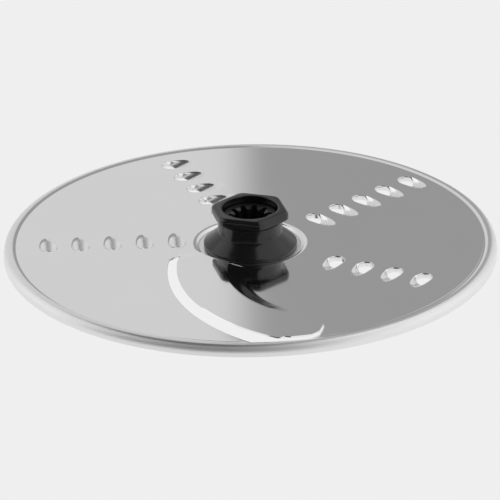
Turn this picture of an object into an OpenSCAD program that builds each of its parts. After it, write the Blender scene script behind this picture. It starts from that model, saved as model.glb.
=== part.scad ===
// Reversible slicing and shredding disc of a food processor.
// One stamped steel sheet, clamped between two identical moulded hub halves,
// with a splined drive sleeve through the middle. Millimetres, +Z up.
// The origin is the centre of the lower hub's end face, on the spin axis.
// The slicing side faces up, and the shredding teeth point down.

/* [Cutting disc] */
// Outer diameter of the rolled rim
disc_d = 168.4; // [145:0.1:205]
// Thickness of the steel sheet
sheet_t = 0.8; // [0.6:0.05:1.1]
// Drop from the plate's top to the rim's lower edge
rim_drop = 3.6; // [3.2:0.1:5]
// Radius of the rim's rolled shoulder
rim_round = 2.7; // [2:0.1:3.2]
// Height of the rim's crown above the plate
rim_rise = 0.2; // [0:0.05:0.5]
// Width of the shallow groove inside the rim
groove_w = 1.2; // [0.6:0.1:2]
// Depth of the shallow groove
groove_depth = 0.15; // [0.05:0.05:0.3]

/* [Hub well] */
// Gap between the hub's skirt and the edge of the well's flat floor
well_gap = 1.8; // [0.8:0.1:4]
// Depth of the well below the plate
well_depth = 0.9; // [0.5:0.05:1.4]
// Width of the rounded shoulder round the well
well_shoulder = 1.9; // [1:0.1:3]

/* [Slicing blade] */
// Height of the blade's top above the plate
blade_h = 1.2; // [0.9:0.05:2.5]
// Width of the sloping wall behind the blade
wall_w = 5.4; // [3:0.1:7]
// Radius of the blade's cutting edge, in plan
edge_r = 65.1; // [60:0.1:72]
// Radius of the slot's outer edge, in plan
slot_r = 71.7; // [70.5:0.1:76]
// Radius of the rounded blade tip
tip_r = 9.1; // [6:0.1:10]
// Width of the ground bevel under the cutting edge
bevel_w = 1.6; // [0.8:0.1:3]
// Thickness left at the cutting edge
edge_t = 0.3; // [0.15:0.05:0.5]

/* [Shredding teeth] */
// Distance between teeth along a row
tooth_pitch = 11; // [9:0.1:14]
// Distance from the well's shoulder to the first tooth of each of the four rows
row_gap = [5.2, 7.2, 10.2, 13.2]; // [4.5:0.1:20]
// Angle of the first row
first_row_angle = 183; // [170:1:190]
// Angle between rows
row_step = -70; // [-80:1:-60]
// Radius of a tooth's hole
tooth_hole_r = 2.6; // [2:0.1:2.75]
// How far a tooth is drawn down from the plate
tooth_drop = 2.1; // [1.6:0.1:3]
// Length of a tooth's scoop, from the hole's centre
scoop_l = 9.6; // [7:0.1:12]
// Radius of the scoop's round section
scoop_r = 3.1; // [2.8:0.1:4]

/* [Hub halves] */
// Height of one hub half, from the sheet to its end face
hub_h = 14; // [12:0.5:18]
// Diameter of the skirt
skirt_d = 31.8; // [30:0.1:32.5]
// Height of the skirt's straight side
skirt_h = 1.65; // [1:0.05:2.5]
// Height at which the cone meets the neck
cone_h = 5.15; // [4.5:0.1:6.5]
// Diameter of the neck
neck_d = 22; // [21.4:0.1:23.2]
// Thickness of the six-sided grip
grip_t = 3; // [2:0.1:4]
// Size of the grip across its rounded corners
grip_d = 27; // [26:0.1:30]
// Radius of the grip's corners
grip_corner_r = 3; // [2:0.1:4]
// Angle of the grip's first corner
grip_angle = 44; // [0:1:59]
// Diameter of the mouth
mouth_d = 19; // [17.5:0.1:19.6]
// Depth of the mouth
mouth_depth = 2.3; // [1:0.1:4]
// Width of the ledge round the foot of the mouth
ledge_w = 0.5; // [0.3:0.05:0.8]

/* [Drive sleeve] */
// Radial clearance between the sleeve and the hub bore
sleeve_clear = 0.06; // [0.05:0.01:0.2]
// Depth of the sleeve's end below the ledge
sleeve_sink = 0.2; // [0.1:0.05:0.5]
// Number of spline teeth
spline_teeth = 10; // [8:1:12]
// Thickness of the sleeve outside the spline's grooves
sleeve_wall = 1.44; // [1:0.02:2]
// Height of the spline's teeth
spline_h = 2.2; // [1.5:0.1:2.6]
// Angle of the first spline groove
spline_angle = 4; // [0:1:35]
// Width of the collar round the hub bore, clamped between the halves
collar_w = 1.9; // [1.3:0.1:2.2]
// Depth of the collar in each half
collar_depth = 1.5; // [1:0.1:2]
// Width of a driving lug
lug_w = 4; // [3:0.1:6]
// Distance from a lug's outer end to the skirt's side
lug_inset = 2.9; // [2.5:0.1:3.5]
// Clearance round the collar and its lugs
lug_clear = 0.15; // [0.1:0.01:0.3]

/* [Locating pegs] */
// Radius of a peg
peg_r = 1.1; // [0.8:0.05:1.3]
// Distance from a peg's middle to the skirt's side
peg_inset = 2.5; // [1.9:0.1:2.8]
// Depth of a peg in the other half
peg_depth = 1.5; // [1:0.1:1.8]
// Clearance round a peg, and at its end
peg_clear = 0.1; // [0.05:0.01:0.2]

/* [Hidden] */
$fn = 96;
// Heights
floor_z = hub_h;
plate_z = floor_z + sheet_t + well_depth;
total_h = 2 * hub_h + sheet_t;
// Radii of the plate
disc_r = disc_d / 2;
skirt_r = skirt_d / 2;
well_r = skirt_r + well_gap;
bore_r = mouth_d / 2 - ledge_w;
sleeve_r = bore_r - sleeve_clear;
groove_r = sleeve_r - sleeve_wall;
tip_in_r = groove_r - spline_h;
collar_r = bore_r + collar_w;
lug_r = skirt_r - lug_inset;
peg_circle_r = skirt_r - peg_inset;
shoulder_r = well_r + well_shoulder;
crown_r = disc_r - rim_round;
crease_gap = 1;
rim_in_r = crown_r - crease_gap;
slot_limit_r = rim_in_r - 0.4;
tooth_limit_r = rim_in_r - groove_w - scoop_r - 1;
// A tooth's hood: its mouth starts this far from the hole's centre, and its wall is this thick
hood_front = 1.6;
hood_wall = 0.55;
// The blade is laid out on a disc of this radius, and follows the real disc's radius
layout_r = 84.2;
k = disc_r / layout_r;
edge_c = [40, -22.4] * k;
slot_c = [43.5, -23.3] * k;
back_c = [33.3, -25.2] * k;
foot_r = 35.5 * k;
ray_c = [36, -24] * k;
tip_c = [14.6, -69.9] * k;
root_a = [-25, -9] * k;
root_dir = [0.852, 0.524];
ramp_w = 7.5;
seam = 0.6;
seat = 0.05;
root_c = [-21, -16] * k;
root_r = 6.8 * k;
ray_first = 163.5;
ray_slot = 166.5;
ray_tip = 245.1;
ray_last = 255;
ray_steps = 44;
wall_steps = 4;
top_steps = 3;
// From this ray on, the foot line draws in towards the tip, by this much at the end
ray_pull = 236;
tip_pull = 7.2 * k;
slot_end = 0.35;
// Locating pegs and lugs: the halves are turned over about a line at turn_angle
turn_angle = 30;
peg_count = 3;
lug_count = 3;
eps = 0.01;

// ---- plan geometry of the blade ----
function unit(a) = [cos(a), sin(a)];
function clamp01(v) = max(0, min(1, v));
function smooth(v) = let (u = clamp01(v)) u * u * (3 - 2 * u);
// Distance along a ray from p in direction u to the far side of a circle, or undef
function far_hit(p, u, c, r) =
    let (m = (c - p) * u, q = r * r - (c - p) * (c - p) + m * m)
    q < 0 ? undef : m + sqrt(q);
// Distance along the ray at angle a to the cutting edge, to the slot's outer edge, and to the foot
function edge_dist(a) =
    let (u = unit(a), limit = far_hit(ray_c, u, [0, 0], slot_limit_r - 0.3))
    a < ray_tip ? min(far_hit(ray_c, u, edge_c, edge_r * k), limit)
                : min(far_hit(ray_c, u, tip_c, tip_r * k), limit);
function slot_dist(a) =
    let (u = unit(a), limit = far_hit(ray_c, u, [0, 0], slot_limit_r))
    a < 170 ? far_hit(ray_c, u, root_c, root_r) : min(far_hit(ray_c, u, slot_c, slot_r * k), limit);
function inner_dist(a) =
    let (u = unit(a), well = far_hit(ray_c, u, [0, 0], shoulder_r), foot = far_hit(ray_c, u, back_c, foot_r))
    a > 200 || is_undef(well) ? foot + tip_pull * pow(clamp01((a - ray_pull) / (ray_last - ray_pull)), 2)
                              : max(well, foot);
function wall_width(a) = wall_w * k * (1 - 0.7 * clamp01((a - 225) / (ray_last - 225)));
// Height of the raised sheet above the plate, at distance d along the ray at angle a
function raise(a, d) =
    let (p = ray_c + d * unit(a),
         from_foot = a > 200 ? d - inner_dist(a) : norm(p - back_c) - foot_r,
         from_root = (p - root_a) * [root_dir[1], -root_dir[0]])
    blade_h * smooth(from_foot / wall_width(a)) * smooth(from_root / ramp_w);
function ray_angle(i) = ray_first + (ray_last - ray_first) * i / ray_steps;
// Distances along one ray: the seam, the wall, the flat top, and the cutting edge
function section(a) =
    let (d0 = inner_dist(a), d1 = edge_dist(a), d2 = d1 - bevel_w, w = min(wall_width(a), 0.6 * (d2 - d0)))
    concat([d0 - seam], [for (j = [0 : wall_steps]) d0 + w * j / wall_steps],
           [for (j = [1 : top_steps]) d0 + w + (d2 - d0 - w) * j / top_steps], [d1]);

// The pressed blade with its sloping wall, as one swept shell
module blade_shell() {
    rows = ray_steps + 1;
    cols = wall_steps + top_steps + 3;
    function place(a, d, z) = [for (v = ray_c + d * unit(a)) v, z];
    pts_top = [for (i = [0 : ray_steps]) let (a = ray_angle(i), s = section(a))
        for (j = [0 : cols - 1]) place(a, s[j], max(raise(a, s[j]), -seat) - (j == 0 ? seat : 0))];
    pts_low = [for (i = [0 : ray_steps]) let (a = ray_angle(i), s = section(a))
        for (j = [0 : cols - 1])
            place(a, s[j], raise(a, s[j]) - (j == cols - 1 ? edge_t : sheet_t) + (j == 0 ? seat : 0))];
    n = rows * cols;
    function at(i, j) = i * cols + j;
    top = [for (i = [0 : rows - 2]) for (j = [0 : cols - 2])
        each [[at(i, j), at(i + 1, j + 1), at(i, j + 1)], [at(i, j), at(i + 1, j), at(i + 1, j + 1)]]];
    low = [for (f = top) [n + f[0], n + f[2], n + f[1]]];
    side_in = [for (i = [0 : rows - 2])
        each [[at(i, 0), n + at(i + 1, 0), at(i + 1, 0)], [at(i, 0), n + at(i, 0), n + at(i + 1, 0)]]];
    side_out = [for (i = [0 : rows - 2]) let (j = cols - 1)
        each [[at(i, j), at(i + 1, j), n + at(i + 1, j)], [at(i, j), n + at(i + 1, j), n + at(i, j)]]];
    end_a = [for (j = [0 : cols - 2])
        each [[at(0, j), at(0, j + 1), n + at(0, j + 1)], [at(0, j), n + at(0, j + 1), n + at(0, j)]]];
    end_b = [for (j = [0 : cols - 2]) let (i = rows - 1)
        each [[at(i, j), n + at(i, j + 1), at(i, j + 1)], [at(i, j), n + at(i, j), n + at(i, j + 1)]]];
    polyhedron(concat(pts_top, pts_low), concat(top, low, side_in, side_out, end_a, end_b));
}

// Plan of the window in the plate: the slot and the place of the raised blade
module blade_window() {
    slot = [for (i = [0 : 40]) let (a = ray_slot + (ray_last + slot_end - ray_slot) * i / 40)
        ray_c + unit(a) * slot_dist(a)];
    back = [for (i = [40 : -1 : 0]) let (a = ray_slot + (ray_last - 0.5 - ray_slot) * i / 40)
        ray_c + unit(a) * inner_dist(a)];
    polygon(concat(slot, back));
}

// ---- the steel sheet ----
function arc(c, r, a0, a1, n) = [for (i = [0 : n]) c + r * unit(a0 + (a1 - a0) * i / n)];
module sheet_profile() {
    crown_c = [crown_r, rim_rise - rim_round];
    in_r = rim_round - sheet_t;
    hub_hole_r = collar_r + lug_clear;
    polygon(concat(
        [[hub_hole_r, -well_depth], [well_r, -well_depth]],
        [[well_r + well_shoulder * 0.45, -well_depth * 0.3], [shoulder_r, 0]],
        [[rim_in_r - groove_w, 0], [rim_in_r - groove_w / 2, -groove_depth], [rim_in_r, 0]],
        arc(crown_c, rim_round, 90, 0, 12),
        [[disc_r, -rim_drop], [disc_r - sheet_t, -rim_drop]],
        arc(crown_c, in_r, 0, 90, 12),
        [[rim_in_r, -sheet_t], [shoulder_r + 0.3, -sheet_t]],
        [[well_r + well_shoulder * 0.45 + 0.3, -sheet_t - well_depth * 0.5]],
        [[well_r + 0.4, -well_depth - sheet_t], [hub_hole_r, -well_depth - sheet_t]]
    ));
}

// One tooth, with the hole's centre at the origin and the scoop running along -Y
module tooth_place(r, a) {
    rotate([0, 0, a]) translate([r, 0, 0]) children();
}
module tooth_axis(grow) {
    tilt = atan(tooth_drop / scoop_l);
    translate([0, 0, scoop_r - tooth_drop])
        rotate([90 - tilt, 0, 0])
            translate([0, 0, -4]) cylinder(r = scoop_r + grow, h = scoop_l + 12);
}
module tooth_metal() {
    translate([0, 0, -tooth_drop]) cylinder(r = tooth_hole_r + hood_wall, h = tooth_drop - sheet_t / 2);
    intersection() {
        tooth_axis(hood_wall);
        translate([-6, -scoop_l - 3, -tooth_drop - 1.5]) cube([12, scoop_l + 3 - hood_front, tooth_drop + 1.1]);
    }
}
module tooth_opening() {
    translate([0, 0, -tooth_drop - 2]) cylinder(r = tooth_hole_r, h = tooth_drop + 4);
    intersection() {
        tooth_axis(0);
        translate([-6, -scoop_l - 3, -tooth_drop - 1.5]) cube([12, scoop_l + 3 - hood_front + eps, tooth_drop + 3]);
    }
}
module all_teeth() {
    for (row = [0 : 3])
        let (n = floor((tooth_limit_r - shoulder_r - row_gap[row]) / tooth_pitch))
            for (i = [0 : n])
                tooth_place(shoulder_r + row_gap[row] + i * tooth_pitch, first_row_angle + row * row_step)
                    children();
}

module lug_plan(grow) {
    circle(r = collar_r + grow);
    for (i = [0 : lug_count - 1])
        rotate(turn_angle + i * 360 / lug_count)
            translate([0, -lug_w / 2 - grow]) square([lug_r + grow, lug_w + 2 * grow]);
}
module peg_ring(first) {
    for (i = [0 : peg_count - 1])
        rotate([0, 0, first + i * 360 / peg_count]) translate([peg_circle_r, 0, 0]) children();
}

module cutting_disc() {
    color([0.78, 0.78, 0.79])
        translate([0, 0, plate_z])
            difference() {
                union() {
                    difference() {
                        rotate_extrude($fn = 180) sheet_profile();
                        translate([0, 0, -sheet_t - 1]) linear_extrude(sheet_t + 2) blade_window();
                    }
                    blade_shell();
                    well_wall();
                    all_teeth() tooth_metal();
                }
                all_teeth() tooth_opening();
                translate([0, 0, -well_depth - 2]) linear_extrude(4) lug_plan(lug_clear);
                translate([0, 0, -well_depth - 2]) {
                    peg_ring(0) cylinder(r = peg_r + peg_clear, h = 4);
                    peg_ring(2 * turn_angle) cylinder(r = peg_r + peg_clear, h = 4);
                }
            }
}
// The well's wall stands higher where the raised blade meets it
module well_wall() {
    start = -158;
    span = 50;
    rotate([0, 0, start])
        rotate_extrude(angle = span)
            translate([shoulder_r - 0.7, -sheet_t + 0.1]) square([0.9, sheet_t - 0.3 + blade_h - 0.3]);
}

// ---- hub halves ----
module hub_body() {
    neck_r = neck_d / 2;
    edge = 0.5;
    rotate_extrude() polygon(concat(
        [[0, 0], [skirt_r, 0]],
        arc([skirt_r - edge, skirt_h - edge], edge, 0, 60, 4),
        [[neck_r + 0.3, cone_h], [neck_r, cone_h + 0.4]],
        [[neck_r, hub_h - grip_t - 1], [neck_r + 0.6, hub_h - grip_t + 0.2]],
        [[0, hub_h - grip_t + 0.2]]
    ));
}
// Six-sided outline with tangent round corners
module grip_plan(inset) {
    corner_c = grip_d / 2 - grip_corner_r;
    r = grip_corner_r - inset;
    polygon([for (i = [0 : 5]) for (s = [-30, 30]) corner_c * unit(60 * i) + r * unit(60 * i + s)]);
    for (i = [0 : 5]) rotate(60 * i) translate([corner_c, 0]) circle(r = r);
}
module grip() {
    edge = 0.5;
    rotate([0, 0, grip_angle]) {
        translate([0, 0, hub_h - grip_t]) linear_extrude(grip_t - edge) grip_plan(0);
        translate([0, 0, hub_h - edge - eps]) linear_extrude(edge + eps) grip_plan(edge);
    }
}
// A hub half stands on its joint face, with its mouth up
module hub_half() {
    union() {
        difference() {
            union() {
                hub_body();
                grip();
            }
            translate([0, 0, -1]) cylinder(r = bore_r, h = hub_h + 2);
            translate([0, 0, hub_h - mouth_depth]) cylinder(d = mouth_d, h = mouth_depth + 1);
            translate([0, 0, -eps]) linear_extrude(collar_depth + eps) lug_plan(lug_clear);
            peg_ring(2 * turn_angle)
                translate([0, 0, -eps]) cylinder(r = peg_r + peg_clear, h = peg_depth + peg_clear + eps);
        }
        peg_ring(0)
            translate([0, 0, -sheet_t - peg_depth]) cylinder(r = peg_r, h = sheet_t + peg_depth + 0.3);
    }
}
module upper_hub() {
    color([0.03, 0.03, 0.035])
        translate([0, 0, floor_z + sheet_t]) hub_half();
}
module lower_hub() {
    color([0.05, 0.05, 0.055])
        translate([0, 0, floor_z])
            rotate([0, 0, turn_angle]) rotate([180, 0, 0]) rotate([0, 0, -turn_angle]) hub_half();
}

// ---- drive sleeve ----
module spline_plan() {
    step = 360 / spline_teeth;
    polygon([for (i = [0 : spline_teeth - 1]) let (a = spline_angle + i * step)
        each [groove_r * unit(a - 5), groove_r * unit(a + 5),
              tip_in_r * unit(a + step / 2 - 5), tip_in_r * unit(a + step / 2 + 5)]]);
}
module drive_sleeve() {
    sleeve_z = mouth_depth + sleeve_sink;
    collar_gap = 0.05;
    lead = 0.8;
    lead_w = 1.2;
    color([0.08, 0.08, 0.085])
        difference() {
            union() {
                translate([0, 0, sleeve_z]) cylinder(r = sleeve_r, h = total_h - 2 * sleeve_z);
                translate([0, 0, floor_z - collar_depth + collar_gap])
                    linear_extrude(sheet_t + 2 * collar_depth - 2 * collar_gap) lug_plan(0);
            }
            translate([0, 0, sleeve_z - 1]) linear_extrude(total_h - 2 * sleeve_z + 2) spline_plan();
            for (z = [sleeve_z, total_h - sleeve_z])
                translate([0, 0, z])
                    rotate_extrude() polygon([[0, -lead], [tip_in_r - 0.2, -lead], [tip_in_r + lead_w, 0],
                        [tip_in_r - 0.2, lead], [0, lead]]);
        }
}

cutting_disc();
upper_hub();
lower_hub();
drive_sleeve();
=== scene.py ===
"""A food processor's reversible slicing and shredding disc, with its finish, on a pale table."""

import math

import bmesh
import bpy
from mathutils import Matrix, Vector


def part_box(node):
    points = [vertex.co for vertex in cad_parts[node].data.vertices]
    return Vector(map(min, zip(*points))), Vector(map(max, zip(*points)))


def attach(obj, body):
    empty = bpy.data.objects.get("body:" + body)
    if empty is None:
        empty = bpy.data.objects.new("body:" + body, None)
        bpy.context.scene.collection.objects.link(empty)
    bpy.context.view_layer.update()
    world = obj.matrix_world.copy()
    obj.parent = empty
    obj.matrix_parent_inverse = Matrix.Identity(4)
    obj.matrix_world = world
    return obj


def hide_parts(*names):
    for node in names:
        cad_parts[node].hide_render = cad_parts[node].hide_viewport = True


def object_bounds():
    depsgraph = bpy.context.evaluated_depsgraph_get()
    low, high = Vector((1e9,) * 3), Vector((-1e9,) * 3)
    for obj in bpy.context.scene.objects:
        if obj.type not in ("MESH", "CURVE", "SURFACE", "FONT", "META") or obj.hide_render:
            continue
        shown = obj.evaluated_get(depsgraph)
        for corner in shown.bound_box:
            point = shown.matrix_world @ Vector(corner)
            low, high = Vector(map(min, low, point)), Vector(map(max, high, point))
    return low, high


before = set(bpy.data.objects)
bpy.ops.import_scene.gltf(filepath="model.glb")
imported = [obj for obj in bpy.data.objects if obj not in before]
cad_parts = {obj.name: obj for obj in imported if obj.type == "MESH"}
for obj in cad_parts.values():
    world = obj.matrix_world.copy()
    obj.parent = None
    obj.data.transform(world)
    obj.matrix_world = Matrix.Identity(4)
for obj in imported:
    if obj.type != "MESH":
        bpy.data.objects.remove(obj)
cad_low, cad_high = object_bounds()

# ---- sizes, in millimetres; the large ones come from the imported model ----
MM = 0.001
disc_low, disc_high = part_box("cutting_disc")
BLADE_H = 1.2
DISC_R = (disc_high.x - disc_low.x) / 2 / MM
PLATE_Z = disc_high.z / MM - BLADE_H
TOTAL_H = cad_high.z / MM
HUB_H = 14.0
SHEET_T = TOTAL_H - 2 * HUB_H
WELL_DEPTH = PLATE_Z - HUB_H - SHEET_T
# the blade's plan is drawn for a disc of this radius, and scaled to the real one
PLAN_R = 84.2
LAYOUT = DISC_R / PLAN_R

# rim: the fall of its edge, its rounding, the rise and width of its crown, and the groove inside it
RIM_DROP, RIM_ROUND, RIM_RISE, CROWN_W = 3.6, 2.7, 0.2, 1
CROWN_R = DISC_R - RIM_ROUND
RIM_IN_R = CROWN_R - CROWN_W
GROOVE_W, GROOVE_DEPTH, GROOVE_MARGIN = 1.2, 0.15, 0.3
RIM_COUNT = 480

# well: its floor, its rounded shoulder and the hole that the hub passes through
WELL_R, WELL_SHOULDER = 17.7, 1.9
SHOULDER_R = WELL_R + WELL_SHOULDER
WELL_FLAT_R = 14.0
HUB_HOLE_R = 11.05

# blade: circles (centre and radius) that its edge, slot, back, tip and root follow
WALL_W, EDGE_R, SLOT_R, TIP_R = 5.4, 65.1, 71.7, 9.1
FOOT_R = 35.5
RAY_C, EDGE_C, SLOT_C = Vector((36, -24)), Vector((40, -22.4)), Vector((43.5, -23.3))
BACK_C, TIP_C, ROOT_C = Vector((33.3, -25.2)), Vector((14.6, -69.9)), Vector((-21, -16))
ROOT_R = 6.8
ROOT_A, ROOT_DIR, RAMP_W = Vector((-25, -9)), Vector((0.852, 0.524)), 7.5
# rays from RAY_C, in degrees, where each part of the blade starts or ends
RAY_ABSENT, RAY_FIRST, RAY_SLOT, RAY_ROOT_END, RAY_OFF_WELL = 140, 161.0, 166.5, 170, 200
RAY_NARROW, RAY_PULL, RAY_TIP, RAY_LAST = 225, 236.0, 245.1, 255.0
RAY_BEYOND = RAY_LAST + 8
SLOT_END = 0.35
TIP_GAP = 0.4
TIP_PULL = 7.2
TIP_NARROWING = 0.7
CLOSE_AFTER, CLOSE_OVER = 1, 4
EDGE_BEVEL = 0.3
EDGE_THINNING = 0.6
SLOT_LIP = 0.12
SLOT_RIM_GAP, EDGE_SLOT_GAP, FOOT_WELL_GAP = 0.4, 0.3, 0.6
SLOT_LIMIT_R = RIM_IN_R - SLOT_RIM_GAP

TOOTH_PITCH = 11.0
ROW_START = (24.8, 26.8, 29.8, 32.8)
FIRST_ROW, ROW_STEP = 183, -70
HOLE_R, TOOTH_DROP, SCOOP_L, SCOOP_R = 2.6, 2.1, 9.6, 3.1
TOOTH_RIM_GAP = 1
TOOTH_LIMIT = RIM_IN_R - GROOVE_W - SCOOP_R - TOOTH_RIM_GAP
TOOTH_EDGE_V = 2.3
TOOTH_LIP, TOOTH_WALL_LOW = 0.22, 1.75


# ---- plan of the pressed blade ----
def clamp01(v):
    return max(0.0, min(1.0, v))


def smooth(v):
    u = clamp01(v)
    return u * u * (3 - 2 * u)


def direction(angle):
    a = math.radians(angle)
    return Vector((math.cos(a), math.sin(a)))


def far_hit(angle, centre, radius):
    """Distance along a ray from RAY_C to the far side of a circle, or None."""
    offset = (centre - RAY_C) * LAYOUT
    along = offset.dot(direction(angle))
    rest = radius * radius - offset.dot(offset) + along * along
    return along + math.sqrt(rest) if rest > 0 else None


def disc_hit(angle, radius):
    """Distance along a ray to a circle round the spin axis."""
    start = RAY_C * LAYOUT
    along = -start.dot(direction(angle))
    rest = radius * radius - start.dot(start) + along * along
    return along + math.sqrt(rest) if rest > 0 else None


def on_ray(angle, distance):
    return RAY_C * LAYOUT + direction(angle) * distance


def edge_dist(angle):
    """Distance along a ray to the blade's cutting edge."""
    limit = disc_hit(angle, SLOT_LIMIT_R - EDGE_SLOT_GAP)
    if angle < RAY_TIP:
        return min(far_hit(angle, EDGE_C, EDGE_R * LAYOUT), limit)
    return min(far_hit(angle, TIP_C, TIP_R * LAYOUT) or limit, limit)


def slot_dist(angle):
    """Distance along a ray to the slot's outer edge, which closes up to the blade at its tip."""
    if angle < RAY_ROOT_END:
        return far_hit(angle, ROOT_C, ROOT_R * LAYOUT)
    open_slot = min(far_hit(angle, SLOT_C, SLOT_R * LAYOUT), disc_hit(angle, SLOT_LIMIT_R))
    closed = edge_dist(min(angle, RAY_LAST)) + TIP_GAP
    closing = smooth((angle - RAY_TIP - CLOSE_AFTER) / CLOSE_OVER)
    return open_slot + (min(closed, open_slot) - open_slot) * closing


def foot_dist(angle):
    """Distance along a ray to the foot of the blade's wall, drawn out to a point at the tip."""
    pull = clamp01((angle - RAY_PULL) / (RAY_LAST - RAY_PULL))
    return far_hit(angle, BACK_C, FOOT_R * LAYOUT) + TIP_PULL * LAYOUT * pull * pull


def inner_dist(angle):
    """Where the blade's sheet starts on a ray: at its foot, or outside the well if that is further."""
    well = disc_hit(angle, SHOULDER_R + FOOT_WELL_GAP)
    foot = foot_dist(angle)
    return foot if angle > RAY_OFF_WELL or well is None else max(well, foot)


def wall_width(angle):
    narrowing = clamp01((angle - RAY_NARROW) / (RAY_LAST - RAY_NARROW))
    return WALL_W * LAYOUT * (1 - TIP_NARROWING * narrowing)


def wall_profile(u):
    """Height of the sloping wall: a soft foot, a straight slope and a crisp crest."""
    foot = 0.4
    crest = 0.06
    u = clamp01(u)
    if u < foot:
        h = u * u / (2 * foot)
    else:
        h = u - foot / 2
    if u > 1 - crest:
        h -= (u - 1 + crest) ** 2 / (2 * crest)
    return h / (1 - foot / 2 - crest / 2)


def raise_at(p):
    """Height of the pressed sheet above the plate at a plan point."""
    from_c = p - RAY_C * LAYOUT
    angle = math.degrees(math.atan2(from_c.y, from_c.x)) % 360
    if angle < RAY_ABSENT or angle > RAY_BEYOND:
        return 0.0
    if angle > RAY_OFF_WELL:
        from_foot = from_c.length - foot_dist(min(angle, RAY_LAST))
    else:
        from_foot = (p - BACK_C * LAYOUT).length - FOOT_R * LAYOUT
    from_root = (p - ROOT_A * LAYOUT).dot(Vector((ROOT_DIR.y, -ROOT_DIR.x)))
    return BLADE_H * wall_profile(from_foot / wall_width(angle)) * smooth(from_root / RAMP_W)


# ---- mesh helpers ----
def deselect():
    bpy.ops.object.select_all(action="DESELECT")


def pick(piece):
    deselect()
    piece.select_set(True)
    bpy.context.view_layer.objects.active = piece


def new_piece(name, bm, material):
    mesh = bpy.data.meshes.new(name)
    bm.to_mesh(mesh)
    bm.free()
    piece = bpy.data.objects.new(name, mesh)
    bpy.context.scene.collection.objects.link(piece)
    mesh.materials.append(material)
    return piece


def put(bm, x, y, z):
    return bm.verts.new((x * MM, y * MM, (PLATE_Z + z) * MM))


def bridge(bm, a, b, closed=True):
    """A strip of quads from loop a to loop b, which have the same number of points."""
    n = len(a)
    for i in range(n if closed else n - 1):
        j = (i + 1) % n
        bm.faces.new((a[i], a[j], b[j], b[i]))


def circle_loop(bm, radius, z, count):
    loop = []
    for i in range(count):
        d = direction(360 * i / count)
        h = z(d * radius) if callable(z) else z
        loop.append(put(bm, d.x * radius, d.y * radius, h))
    return loop


# ---- the pressed steel sheet ----
def rim_section():
    """Points (radius, height) over the rim's crown, round its edge and down its skirt."""
    crown_steps, round_steps = 4, 18
    section = []
    for i in range(1, crown_steps + 1):
        t = i / crown_steps
        section.append((RIM_IN_R + (CROWN_R - RIM_IN_R) * t, RIM_RISE * math.sin(math.pi / 2 * t)))
    for i in range(1, round_steps + 1):
        a = math.radians(90 - 90 / round_steps * i)
        section.append((CROWN_R + RIM_ROUND * math.cos(a), RIM_RISE - RIM_ROUND * (1 - math.sin(a))))
    bottom = RIM_RISE - RIM_ROUND
    for t in (0.4, 0.85, 1.0):
        section.append((DISC_R, bottom + (-RIM_DROP - bottom) * t))
    return section


def add_rim(bm):
    """The groove, the rolled crown and the turned-down edge, from inside out."""
    # shares of the way across the groove, and of its depth there
    groove = [(0, 0), (0.16, 0)]
    groove += [(0.2 + 0.1 * i, math.sin(math.pi * i / 8)) for i in range(1, 8)]
    groove += [(1, 0)]
    least_w = 0.1
    reach = slot_reach(RIM_COUNT)
    loops = []
    for part, depth in groove:
        loop = []
        for i in range(RIM_COUNT):
            d = direction(360 * i / RIM_COUNT)
            start = min(max(RIM_IN_R - GROOVE_W - GROOVE_MARGIN, reach[i]), RIM_IN_R - least_w)
            room = smooth((RIM_IN_R - start) / (GROOVE_W + GROOVE_MARGIN))
            r = start + (RIM_IN_R - start) * part
            loop.append(put(bm, d.x * r, d.y * r, -GROOVE_DEPTH * depth * room))
        loops.append(loop)
    loops += [circle_loop(bm, r, z, RIM_COUNT) for r, z in rim_section()]
    for a, b in zip(loops, loops[1:]):
        bridge(bm, a, b)
    return loops[0]


def slot_reach(count):
    """For each rim direction, the radius that the slot's outer edge reaches near it."""
    reach = [0.0] * count
    samples, near_degrees, clear = 600, 1.2, 0.1
    near = int(near_degrees * count / 360)
    for i in range(samples):
        angle = RAY_SLOT + (RAY_LAST + SLOT_END - RAY_SLOT) * i / (samples - 1)
        p = on_ray(angle, slot_dist(angle) + SLOT_LIP)
        place = round(math.degrees(math.atan2(p.y, p.x)) % 360 * count / 360)
        for j in range(place - near, place + near + 1):
            reach[j % count] = max(reach[j % count], p.length + clear)
    return reach


def add_well(bm):
    """The flat floor round the hub and the rounded wall of the well, from outside in."""
    count = 240
    # shares of the way out across the shoulder, and of the way up it
    rise = ((1.0, 1.0), (0.87, 0.995), (0.75, 0.96), (0.6, 0.87), (0.45, 0.71), (0.33, 0.53),
            (0.22, 0.33), (0.12, 0.16), (0.04, 0.06), (-0.06, 0.015), (-0.16, 0.0))
    loops = []
    for across, up in rise:
        radius = WELL_R + WELL_SHOULDER * across

        def height(p, up=up):
            top = raise_at(p.normalized() * SHOULDER_R)
            return -WELL_DEPTH + (top + WELL_DEPTH) * up

        loops.append(circle_loop(bm, radius, height, count))
    loops.append(circle_loop(bm, WELL_FLAT_R, -WELL_DEPTH, count))
    loops.append(circle_loop(bm, HUB_HOLE_R, -WELL_DEPTH, count))
    for a, b in zip(loops, loops[1:]):
        bridge(bm, a, b)
    return loops[0]


def scoop_depth(u, v):
    """Depth of a tooth's scoop; u is across it and v runs from the hole towards its tail."""
    axis = SCOOP_R - TOOTH_DROP + (v - TOOTH_EDGE_V) * TOOTH_DROP / (SCOOP_L - TOOTH_EDGE_V)
    raw = math.sqrt(max(0.0, SCOOP_R * SCOOP_R - u * u)) - axis
    soft, level = 0.22, 0.02
    depth = 0.5 * (raw + math.sqrt(raw * raw + soft * soft)) - level
    near_hole = smooth((v + 0.5) / 1.7)
    return max(0.0, depth) * near_hole


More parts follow.
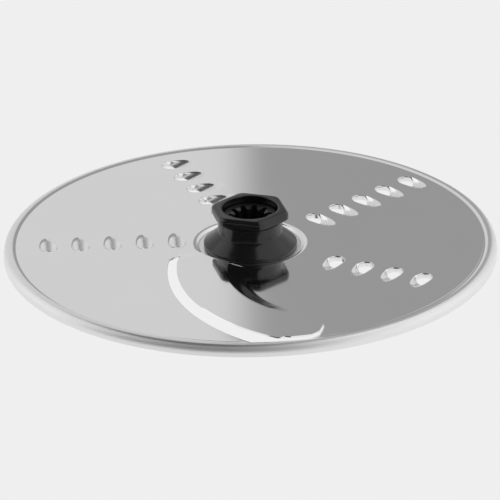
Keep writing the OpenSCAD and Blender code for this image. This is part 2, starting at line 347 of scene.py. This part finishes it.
def add_tooth(bm, radius, angle):
    """One shredding tooth. Its outer loop lies flat in the plate."""
    count, rings = 56, 16
    middle_v, half_l, half_w = 3.5, 7.7, 4.4
    out = direction(angle)
    along = Vector((out.y, -out.x))
    centre = out * radius

    def ray_to_outline(d):
        # distance from the hole's centre to the oval outline in local direction d = (u, v)
        a = (d.x / half_w) ** 2 + (d.y / half_l) ** 2
        b = -2 * d.y * middle_v / half_l**2
        c = (middle_v / half_l) ** 2 - 1
        return (-b + math.sqrt(b * b - 4 * a * c)) / (2 * a)

    def at(d, r, depth):
        p = centre + out * (d.x * r) + along * (d.y * r)
        return put(bm, p.x, p.y, -depth)

    spokes = [direction(360 * i / count) for i in range(count)]
    lip_r = HOLE_R + TOOTH_LIP
    loops = []
    for ring in range(rings + 1):
        # rings lie closer together towards the hole
        t = 1 - (1 - ring / rings) ** 1.35
        fade = smooth(t / 0.12)
        loop = []
        for d in spokes:
            far = ray_to_outline(d)
            r = far + (lip_r - far) * t
            loop.append(at(d, r, scoop_depth(d.x * r, d.y * r) * fade))
        loops.append(loop)
    # rounded lip, then the wall turned down round the hole
    tops = [scoop_depth(d.x * lip_r, d.y * lip_r) for d in spokes]
    for turn in (30, 60, 90):
        a = math.radians(turn)
        r = HOLE_R + TOOTH_LIP * (1 - math.sin(a))
        drop = TOOTH_LIP * (1 - math.cos(a))
        loops.append([at(d, r, top + drop) for d, top in zip(spokes, tops)])
    least_wall = 0.05
    for part in (0.35, 0.7, 1.0):
        loop = []
        for d, top in zip(spokes, tops):
            start = top + TOOTH_LIP
            low = max(start + least_wall, TOOTH_WALL_LOW)
            loop.append(at(d, HOLE_R, start + (low - start) * part))
        loops.append(loop)
    for a, b in zip(loops, loops[1:]):
        bridge(bm, a, b)
    return loops[0]


def blade_section(angle):
    """Distances along one ray, from the foot of the wall to the cutting edge."""
    start = inner_dist(angle)
    end = edge_dist(angle)
    if angle < RAY_SLOT:
        # the first rays reach only part of the way, so the sheet grows out of the plate
        share = 0.2 + 0.8 * smooth((angle - RAY_FIRST) / (RAY_SLOT - RAY_FIRST))
        end = start + (end - start) * share
    foot = foot_dist(angle)
    width = min(wall_width(angle), (end - foot) * 0.6)
    crest = max(foot + width, start + (end - start) * 0.3)
    # shares up the wall, closer together where its foot and its crest curve
    steps = (0, 0.06, 0.13, 0.2, 0.28, 0.36, 0.44, 0.55, 0.7, 0.85, 0.92, 0.95, 0.975, 1.0, 1.05)
    wall = [start + (crest - start) * t for t in steps]
    last = wall[-1]
    before_edge = end - EDGE_BEVEL
    top_steps = 10
    top = [last + (before_edge - last) * i / top_steps for i in range(1, top_steps + 1)]
    return wall + top + [end]


def add_blade(bm, groups):
    """The raised blade and its wall. Returns the loop of plate points round the window."""
    rays = 220
    ground_off = EDGE_BEVEL * 0.8
    after_root = RAY_SLOT + 1
    grid = []
    for i in range(rays + 1):
        angle = RAY_FIRST + (RAY_LAST - RAY_FIRST) * i / rays
        if abs(angle - RAY_SLOT) < 0.5 * (RAY_LAST - RAY_FIRST) / rays:
            angle = RAY_SLOT
        row = []
        distances = blade_section(angle)
        for j, d in enumerate(distances):
            p = on_ray(angle, d)
            ground = ground_off if j == len(distances) - 1 and angle > after_root else 0
            row.append(put(bm, p.x, p.y, raise_at(p) - ground))
        grid.append((angle, row))
    for (_, a), (_, b) in zip(grid, grid[1:]):
        bridge(bm, a, b, closed=False)
    groups.extend(row[-1] for angle, row in grid if angle > after_root)

    # slot's outer edge: a plate line, and a rolled-over lip down to the cut
    steps = 200
    last = RAY_LAST + SLOT_END
    lip = ((SLOT_LIP, 0), (SLOT_LIP * 0.35, 0.03), (0, 0.1))
    lines = [[], [], []]
    for i in range(1, steps + 1):
        angle = RAY_SLOT + (last - RAY_SLOT) * i / steps
        d = slot_dist(angle)
        for line, (away, down) in zip(lines, lip):
            p = on_ray(angle, d + away)
            line.append(put(bm, p.x, p.y, -down))
    for a, b in zip(lines, lines[1:]):
        bridge(bm, a, b, closed=False)

    at_slot = RAY_SLOT - 1e-6
    root = next(row[-1] for angle, row in grid if angle >= at_slot)
    outer_start = [row[-1] for angle, row in grid if angle < at_slot]
    foot = [row[0] for _, row in grid]
    window = outer_start + [root] + lines[0] + foot[::-1] + grid[0][1][1:-1]
    bm.faces.new((root, lines[0][0], lines[1][0]))
    bm.faces.new((root, lines[1][0], lines[2][0]))
    return window


def close_edges(bm, loop):
    """The edges round a closed loop, made where they are missing."""
    edges = []
    for a, b in zip(loop, loop[1:] + loop[:1]):
        edges.append(bm.edges.get((a, b)) or bm.edges.new((a, b)))
    return edges


def build_sheet(material):
    """The rim, well, blade and teeth, joined by a flat plate and given the sheet's thickness."""
    bm = bmesh.new()
    thin = []
    loops = [add_rim(bm), add_well(bm)]
    loops.append(add_blade(bm, thin))
    for row, start in enumerate(ROW_START):
        for i in range(int((TOOTH_LIMIT - start) / TOOTH_PITCH) + 1):
            loops.append(add_tooth(bm, start + i * TOOTH_PITCH, FIRST_ROW + row * ROW_STEP))
    edges = [e for loop in loops for e in close_edges(bm, loop)]
    bmesh.ops.triangle_fill(bm, edges=edges, use_beauty=True, use_dissolve=False)
    bmesh.ops.recalc_face_normals(bm, faces=bm.faces)
    if sum(f.normal.z * f.calc_area() for f in bm.faces) < 0:
        bmesh.ops.reverse_faces(bm, faces=bm.faces)
    bm.verts.index_update()
    thin_index = [v.index for v in thin]
    piece = new_piece("steel_disc", bm, material)
    group = piece.vertex_groups.new(name="sheet")
    group.add(range(len(piece.data.vertices)), 1.0, "REPLACE")
    group.add(thin_index, EDGE_THINNING, "REPLACE")
    solid = piece.modifiers.new("thickness", "SOLIDIFY")
    solid.thickness = SHEET_T * MM
    solid.offset = -1
    solid.use_even_offset = False
    solid.vertex_group = "sheet"
    pick(piece)
    bpy.ops.object.modifier_apply(modifier="thickness")
    bpy.ops.object.shade_smooth_by_angle(angle=math.radians(35))
    weights = piece.modifiers.new("weights", "WEIGHTED_NORMAL")
    weights.weight = 100
    weights.keep_sharp = True
    bpy.ops.object.modifier_apply(modifier="weights")
    return piece


# ---- hub halves ----
SKIRT_R, SKIRT_H, CONE_H, NECK_R = 15.9, 1.65, 5.15, 11.0
GRIP_T, GRIP_R, GRIP_CORNER_R, GRIP_ANGLE = 3.0, 13.5, 3.0, 44
GRIP_ROUND_R = 12.0
GRIP_EDGE, SKIRT_EDGE, MOUTH_EDGE = 1.4, 0.55, 0.35
MOUTH_R = 9.5


def hexagon_radius(angle):
    """Radius of the rounded six-sided grip in a direction, in degrees from a corner."""
    a = (angle + 30) % 60 - 30
    half = math.radians(30)
    from_flat = math.radians(30 - abs(a))
    centre = GRIP_R - GRIP_CORNER_R
    flat = centre * math.cos(half) + GRIP_CORNER_R
    if flat * math.tan(from_flat) < centre * math.sin(half):
        return flat / math.cos(from_flat)
    s = math.sin(math.radians(a))
    return centre * math.cos(math.radians(a)) + math.sqrt(GRIP_CORNER_R**2 - (centre * s) ** 2)


def hub_profile():
    """Points (radius, height, share of the six-sided form) from the joint face to the mouth."""
    # joint face and skirt
    points = [(MOUTH_R + 0.3, 0, 0), (SKIRT_R - 0.25, 0, 0), (SKIRT_R - 0.07, 0.07, 0)]
    points += [(SKIRT_R, 0.25, 0), (SKIRT_R, SKIRT_H - 0.9, 0)]
    slope = math.degrees(math.atan2(CONE_H - SKIRT_H, SKIRT_R - NECK_R))
    for i in range(7):
        a = math.radians(i * (90 - slope) / 6)
        r = SKIRT_R - SKIRT_EDGE + SKIRT_EDGE * math.cos(a)
        points.append((r, SKIRT_H - SKIRT_EDGE + SKIRT_EDGE * math.sin(a), 0))
    # cone and neck
    r0, z0 = points[-1][0], points[-1][1]
    for t in (0.25, 0.5, 0.75, 0.93):
        points.append((r0 + (NECK_R + 0.25 - r0) * t, z0 + (CONE_H - z0) * t, 0))
    points += [(NECK_R + 0.3, CONE_H - 0.06, 0), (NECK_R + 0.09, CONE_H + 0.08, 0)]
    points += [(NECK_R, CONE_H + 0.3, 0), (NECK_R, CONE_H + 2.2, 0)]
    # underside and edge of the grip, where the round turns into six sides
    under = HUB_H - GRIP_T
    points += [(NECK_R, under - 1.6, 0), (NECK_R + 0.05, under - 1.2, 0.02)]
    points += [(NECK_R + 0.2, under - 0.85, 0.1), (NECK_R + 0.5, under - 0.5, 0.3)]
    points += [(GRIP_ROUND_R - 0.3, under - 0.22, 0.6), (GRIP_ROUND_R, under - 0.05, 0.85)]
    points += [(GRIP_ROUND_R, under + 0.25, 1.0), (GRIP_ROUND_R, under + 0.6, 1.0)]
    points += [(GRIP_ROUND_R, HUB_H - GRIP_EDGE - 0.3, 1.0)]
    for i in range(9):
        a = math.radians(90 * i / 8)
        r = GRIP_ROUND_R - GRIP_EDGE + GRIP_EDGE * math.cos(a)
        points.append((r, HUB_H - GRIP_EDGE + GRIP_EDGE * math.sin(a), 1.0 - 0.12 * i / 8))
    # end face, mouth and bore
    points.append((MOUTH_R + MOUTH_EDGE + 0.25, HUB_H, 0.12))
    for i in range(6):
        a = math.radians(90 * i / 5)
        r = MOUTH_R + MOUTH_EDGE - MOUTH_EDGE * math.sin(a)
        points.append((r, HUB_H - MOUTH_EDGE + MOUTH_EDGE * math.cos(a), 0))
    points += [(MOUTH_R, z, 0) for z in (HUB_H - 1.2, HUB_H - 2.6, 4.0, 0.3)]
    return points


def build_hub(name, material):
    """One moulded half, standing on its joint face with its mouth up."""
    count = 216
    bm = bmesh.new()
    loops = []
    for radius, z, share in hub_profile():
        loop = []
        for i in range(count):
            angle = 360 * i / count
            r = radius + share * (hexagon_radius(angle - GRIP_ANGLE) - GRIP_ROUND_R)
            d = direction(angle)
            loop.append(bm.verts.new((d.x * r * MM, d.y * r * MM, z * MM)))
        loops.append(loop)
    for a, b in zip(loops, loops[1:] + loops[:1]):
        bridge(bm, a, b)
    bmesh.ops.recalc_face_normals(bm, faces=bm.faces)
    piece = new_piece(name, bm, material)
    pick(piece)
    bpy.ops.object.shade_smooth_by_angle(angle=math.radians(40))
    return piece


def settle(piece, matrix):
    """Puts a matrix into a piece's mesh, so its object stays at the origin."""
    piece.data.transform(matrix)
    if matrix.determinant() < 0:
        piece.data.flip_normals()
    piece.data.update()


# ---- materials ----
class Value:
    """A shader socket that can be used in a sum."""

    def __init__(self, graph, socket):
        self.graph = graph
        self.socket = socket

    def _do(self, operation, a, b=None):
        inputs = {0: a} if b is None else {0: a, 1: b}
        return self.graph.node("ShaderNodeMath", {"operation": operation}, inputs)

    def __add__(self, other):
        return self._do("ADD", self, other)

    __radd__ = __add__

    def __sub__(self, other):
        return self._do("SUBTRACT", self, other)

    def __rsub__(self, other):
        return self._do("SUBTRACT", other, self)

    def __mul__(self, other):
        return self._do("MULTIPLY", self, other)

    __rmul__ = __mul__

    def __truediv__(self, other):
        return self._do("DIVIDE", self, other)

    def __rtruediv__(self, other):
        return self._do("DIVIDE", other, self)

    def __pow__(self, other):
        return self._do("POWER", self, other)


class Graph:
    """A material's node tree."""

    def __init__(self, name):
        self.material = bpy.data.materials.new(name)
        self.material.use_nodes = True
        self.tree = self.material.node_tree
        self.tree.nodes.clear()
        self.output = self.tree.nodes.new("ShaderNodeOutputMaterial")

    def node(self, kind, settings=None, inputs=None, out=0):
        made = self.tree.nodes.new(kind)
        for key, value in (settings or {}).items():
            setattr(made, key, value)
        for key, value in (inputs or {}).items():
            self.link(value, made.inputs[key])
        return Value(self, made.outputs[out])

    def place(self):
        """The point on the piece, in metres, and its three parts."""
        point = self.node("ShaderNodeTexCoord", out=3)
        split = self.tree.nodes.new("ShaderNodeSeparateXYZ")
        self.link(point, split.inputs[0])
        return point, [Value(self, split.outputs[i]) for i in range(3)]

    def noise(self, vector, scale, detail, **more):
        inputs = {"Vector": vector, "Scale": scale, "Detail": detail, **more}
        return self.node("ShaderNodeTexNoise", None, inputs)

    def soft_step(self, value, start, end, before, after):
        """Goes smoothly from one number to another while the value goes from start to end."""
        inputs = {0: value, 1: start, 2: end, 3: before, 4: after}
        return self.node("ShaderNodeMapRange", {"interpolation_type": "SMOOTHSTEP"}, inputs)

    def mix(self, share, a, b):
        return self.node("ShaderNodeMix", {"data_type": "RGBA"}, {0: share, 6: a, 7: b}, out=2)

    def bump(self, height, strength, distance):
        inputs = {"Strength": strength, "Distance": distance, "Height": height}
        return self.node("ShaderNodeBump", None, inputs)

    def link(self, value, socket):
        if isinstance(value, Value):
            self.tree.links.new(value.socket, socket)
        else:
            socket.default_value = value

    def finish(self, shader):
        self.tree.links.new(shader.socket, self.output.inputs["Surface"])
        return self.material


def grey(v):
    return (v, v, v, 1)


def polished_steel():
    """Rolled stainless sheet, polished bright, with a very fine turned grain and faint smears."""
    g = Graph("polished_steel")
    place, (x, y, z) = g.place()
    radius = (x * x + y * y) ** 0.5
    turn = g.node("ShaderNodeMath", {"operation": "ARCTAN2"}, {0: y, 1: x})
    around = {"X": radius * 1000, "Y": turn * 3, "Z": z * 200}
    lines = g.noise(g.node("ShaderNodeCombineXYZ", None, around), 4.0, 3.0)
    smear = g.noise(place, 38.0, 4.0, Roughness=0.6)
    # the rolled rim and the drawn teeth and well are less bright than the flat plate
    rolled = g.soft_step(radius, RIM_IN_R * MM, (RIM_IN_R + 1) * MM, 0.0, 0.24)
    drawn = g.soft_step(z, (PLATE_Z - 0.6) * MM, (PLATE_Z - 0.03) * MM, 0.2, 0.0)
    rough = 0.05 + lines * 0.02 + smear * 0.03 + rolled + drawn
    tone = g.mix(smear, (0.86, 0.86, 0.865, 1), (0.90, 0.90, 0.905, 1))
    bump = g.bump(lines, 0.02, 0.00002)
    shader = g.node("ShaderNodeBsdfPrincipled", None,
                    {"Base Color": tone, "Metallic": 1.0, "Roughness": rough, "Normal": bump})
    return g.finish(shader)


def hub_plastic(name="hub_plastic", rough_low=0.14, colour=0.008):
    """Black moulded plastic with a faint orange-peel and handling marks."""
    g = Graph(name)
    place, _ = g.place()
    peel = g.noise(place, 900.0, 3.0, Roughness=0.6)
    marks = g.noise(place, 120.0, 4.0)
    rough = rough_low + marks * 0.06 + peel * 0.04
    tone = g.mix(marks, grey(colour), grey(colour * 1.5))
    bump = g.bump(peel, 0.06, 0.00004)
    shader = g.node("ShaderNodeBsdfPrincipled", None,
                    {"Base Color": tone, "Roughness": rough, "Normal": bump, "IOR": 1.5})
    return g.finish(shader)


def emission(g, strength):
    return g.finish(g.node("ShaderNodeEmission", None, {"Color": grey(1), "Strength": strength}))


def glow(name, strength):
    return emission(Graph(name), strength)


def panel_paint():
    """The sheet behind the disc: bright on the left, grey on the right, with a soft edge."""
    g = Graph("backdrop_paint")
    _, (across, _, _) = g.place()
    step = g.soft_step(across, -0.014, 0.009, 0.69, 0.34)
    far = g.soft_step(across, 0.22, 0.34, 0.0, 0.4)
    return emission(g, step + far)


# ---- build ----
steel = polished_steel()
black = hub_plastic()
sleeve_black = hub_plastic("sleeve_plastic", 0.3, 0.01)

sheet = build_sheet(steel)
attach(sheet, "root")
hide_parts("cutting_disc")

upper = build_hub("upper_hub_half", black)
settle(upper, Matrix.Translation((0, 0, (HUB_H + SHEET_T) * MM)))
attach(upper, "root")
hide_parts("upper_hub")

# the lower half is turned over about a level line at this angle
TURN = math.radians(30)
lower = build_hub("lower_hub_half", black)
turned = Matrix.Rotation(math.pi, 4, "X") @ Matrix.Rotation(-TURN, 4, "Z")
turned = Matrix.Rotation(TURN, 4, "Z") @ turned
settle(lower, Matrix.Translation((0, 0, HUB_H * MM)) @ turned)
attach(lower, "root")
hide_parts("lower_hub")

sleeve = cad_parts["drive_sleeve"]
sleeve.data.materials.clear()
sleeve.data.materials.append(sleeve_black)

# ---- table, backdrop, lights and camera ----
# camera: degrees, metres and millimetres; the aim is a little below and left of the spin axis
ELEVATION, ROLL, DISTANCE = 24.6, 0.8, 3.006
SENSOR_W, LENS = 36, 634.536
AIM_DOWN, AIM_LEFT = 0.00264001, 0.00012279
FAR_CLIP = 50
TABLE_TONE, ROOM_TONE, ROOM_STRENGTH = 0.863, 0.5, 0.12


def add_panel(name, size, place, turn, material):
    deselect()
    bpy.ops.mesh.primitive_plane_add(size=1)
    panel = bpy.context.object
    panel.name = name
    panel.data.transform(Matrix.Diagonal((size[0], size[1], 1, 1)))
    panel.location = place
    panel.rotation_euler = [math.radians(a) for a in turn]
    panel.data.materials.append(material)
    return panel


add_panel("table", (8, 8), (0, 0, 0), (0, 0, 0), glow("table_glow", TABLE_TONE))
back = add_panel("backdrop", (2.4, 1.0), (0, 0.6, 0.5), (90, 0, 0), panel_paint())
back.visible_camera = False
back.visible_shadow = False

# soft panels round the disc: size, place, turn in degrees and strength
SOFT_PANELS = {
    "right": ((2.6, 0.96), (0.85, -0.45, 0.48), (90, 0, 90), 1.0),
    "left": ((1.1, 0.96), (-0.85, 0.25, 0.48), (90, 0, 90), 1.1),
    "over_right": ((0.78, 1.5), (0.56, 0.0, 0.98), (180, 0, 0), 0.9),
    "over_left": ((0.35, 1.5), (-0.775, 0.0, 0.98), (180, 0, 0), 0.9),
}
for name, (size, place, turn, strength) in SOFT_PANELS.items():
    panel = add_panel(name + "_panel", size, place, turn, glow(name + "_glow", strength))
    panel.visible_camera = False

world = bpy.data.worlds.new("room")
bpy.context.scene.world = world
world.use_nodes = True
room = world.node_tree.nodes["Background"].inputs
room["Color"].default_value = grey(ROOM_TONE)
room["Strength"].default_value = ROOM_STRENGTH


def add_camera():
    e = math.radians(ELEVATION)
    ahead = Vector((0, math.cos(e), -math.sin(e)))
    right = Vector((1, 0, 0))
    up = right.cross(ahead)
    roll = math.radians(ROLL)
    turned_right = right * math.cos(roll) - up * math.sin(roll)
    turned_up = up * math.cos(roll) + right * math.sin(roll)
    aim = Vector((0, 0, PLATE_Z * MM)) - turned_up * AIM_DOWN - turned_right * AIM_LEFT
    data = bpy.data.cameras.new("camera")
    data.sensor_width = SENSOR_W
    data.lens = LENS
    data.clip_end = FAR_CLIP
    camera = bpy.data.objects.new("camera", data)
    bpy.context.scene.collection.objects.link(camera)
    turn = Matrix((turned_right, turned_up, -ahead)).transposed()
    camera.matrix_world = Matrix.Translation(aim - ahead * DISTANCE) @ turn.to_4x4()
    bpy.context.scene.camera = camera


add_camera()
bpy.context.scene.view_settings.view_transform = "Standard"
